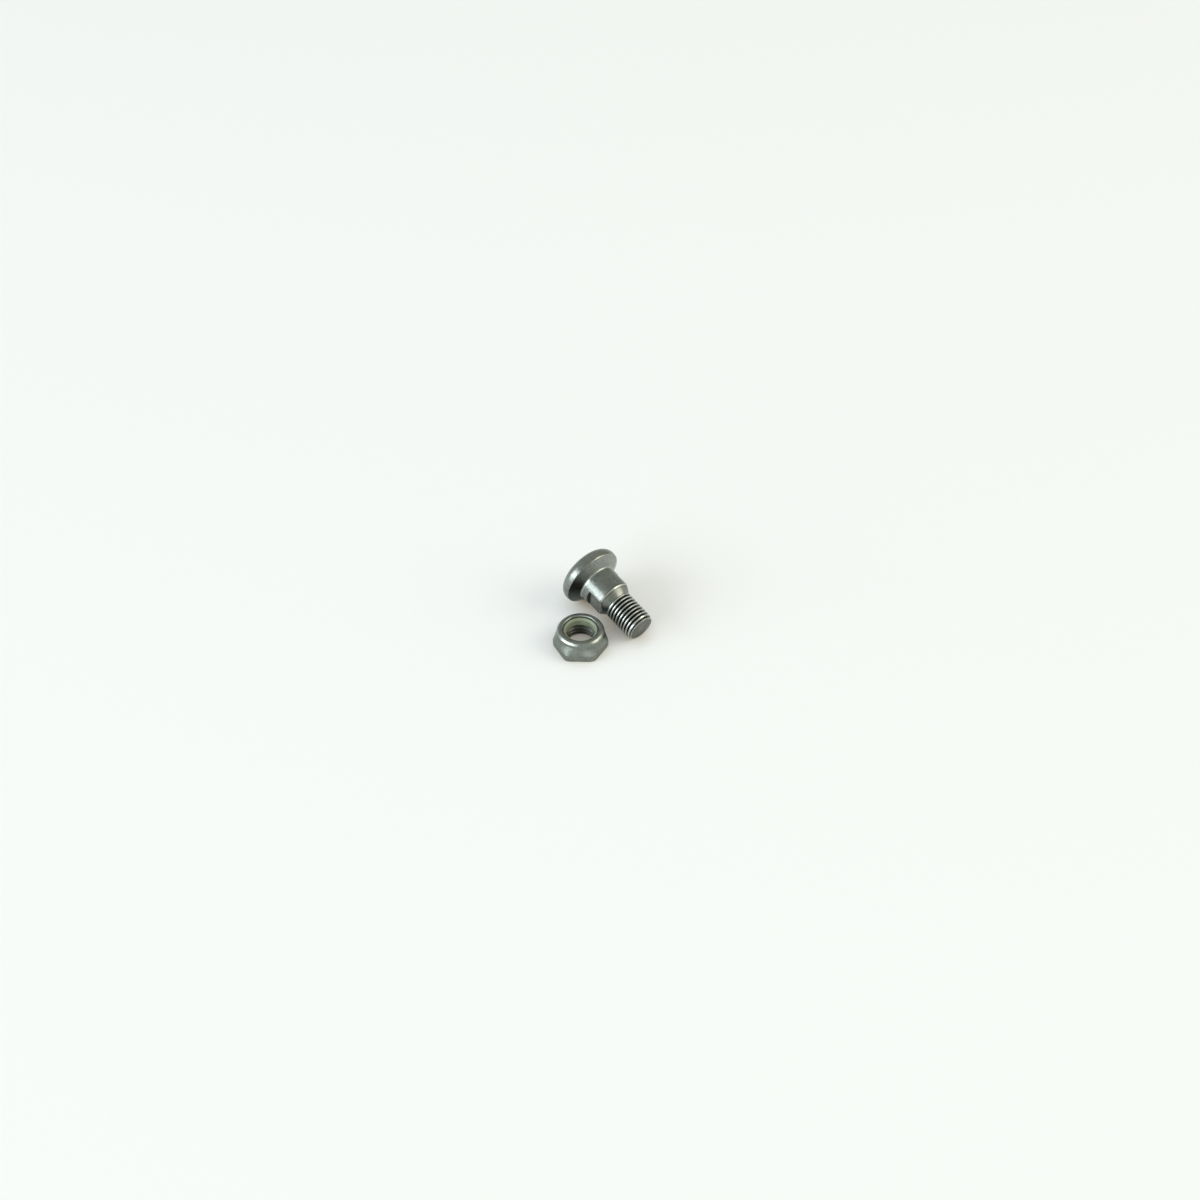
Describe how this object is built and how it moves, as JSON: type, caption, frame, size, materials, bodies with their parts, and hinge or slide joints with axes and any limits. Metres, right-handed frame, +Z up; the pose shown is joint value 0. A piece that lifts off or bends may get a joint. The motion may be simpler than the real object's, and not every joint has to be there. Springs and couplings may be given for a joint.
{
  "type": "pivot bolt",
  "caption": "Pivot bolt with a round domed head, plain shoulder with flats and threaded end, lying beside its nylon ring lock nut.",
  "frame": {"origin": "on the surface that the bolt and the nut lie on, under the middle of the pair's box", "axes": "+Z up, along the nut's thread; +X level along the bolt, from its head to its threaded end; +Y from the nut to the bolt"},
  "size_m": [0.0367, 0.0422, 0.0246],
  "materials": {
    "bolt_steel": "dark phosphated, satin",
    "nut_steel": "dull zinc plated, satin",
    "nylon": "translucent olive, satin"
  },
  "bodies": {
    "root": {"bolt": "bolt_steel", "lock_nut": "nut_steel", "nylon_ring": "nylon"}
  },
  "joints": []
}
